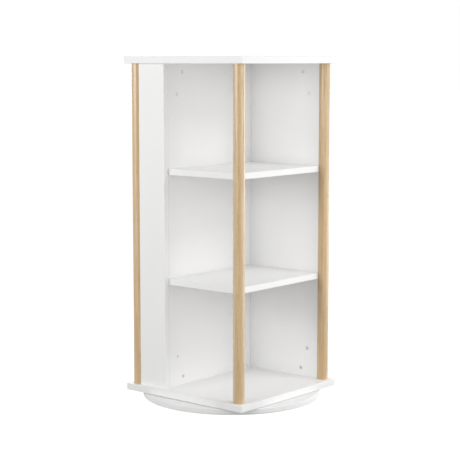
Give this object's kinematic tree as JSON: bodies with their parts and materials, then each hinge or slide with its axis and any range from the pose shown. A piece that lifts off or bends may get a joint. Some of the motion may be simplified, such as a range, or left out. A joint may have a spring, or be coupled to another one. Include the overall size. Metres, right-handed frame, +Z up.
{
  "type": "rotating bookshelf",
  "caption": "Square white bookshelf with round wooden corner columns, open compartments on two faces and narrow ones behind, turning without limit on a low round base.",
  "frame": {"origin": "on the floor, under the middle of the round base", "axes": "+Z up along the turning axis, -Y and +X out of the two open faces of the main compartments"},
  "size_m": [0.4749, 0.475, 0.905],
  "materials": {
    "white_lacquer": "satin white lacquer on fibreboard",
    "beech": "clear matt varnish on natural wood",
    "aluminium": "plain milled",
    "zinc_steel": "bright zinc plate",
    "bearing_steel": "polished",
    "cam_zinc": "die-cast, matt",
    "nylon": "moulded",
    "felt": "pressed felt"
  },
  "bodies": {
    "base": {"base_disc": "white_lacquer", "foot_pads": "felt", "bearing_outer_ring": "aluminium", "outer_ring_screws": "zinc_steel"},
    "ball_cage": {"ball_cage": "nylon", "bearing_balls": "bearing_steel"},
    "cabinet": {"bearing_inner_ring": "aluminium", "inner_ring_screws": "zinc_steel", "bottom_board": "white_lacquer", "top_board": "white_lacquer", "column_front": "beech", "column_left": "beech", "column_right": "beech", "column_back": "beech", "column_screws": "zinc_steel", "column_pins": "beech", "end_panel": "white_lacquer", "divider_panel": "white_lacquer", "side_panel": "white_lacquer", "shelf_lower": "white_lacquer", "shelf_upper": "white_lacquer", "narrow_shelf_lower": "white_lacquer", "narrow_shelf_upper": "white_lacquer", "shelf_pins": "zinc_steel", "cam_locks": "cam_zinc", "cam_bolts": "zinc_steel", "wood_dowels": "beech"}
  },
  "joints": [
    {"name": "turntable_spin", "type": "hinge", "parent": "base", "child": "cabinet", "pos_m": [0, 0, 0.018], "axis": [0, 0, 1], "continuous": true},
    {"name": "cage_spin", "type": "hinge", "parent": "base", "child": "ball_cage", "pos_m": [0, 0, 0.01275], "axis": [0, 0, 1], "continuous": true}
  ],
  "couplings": [
    {"joint": "cage_spin", "follows": "turntable_spin", "ratio": 0.5}
  ]
}
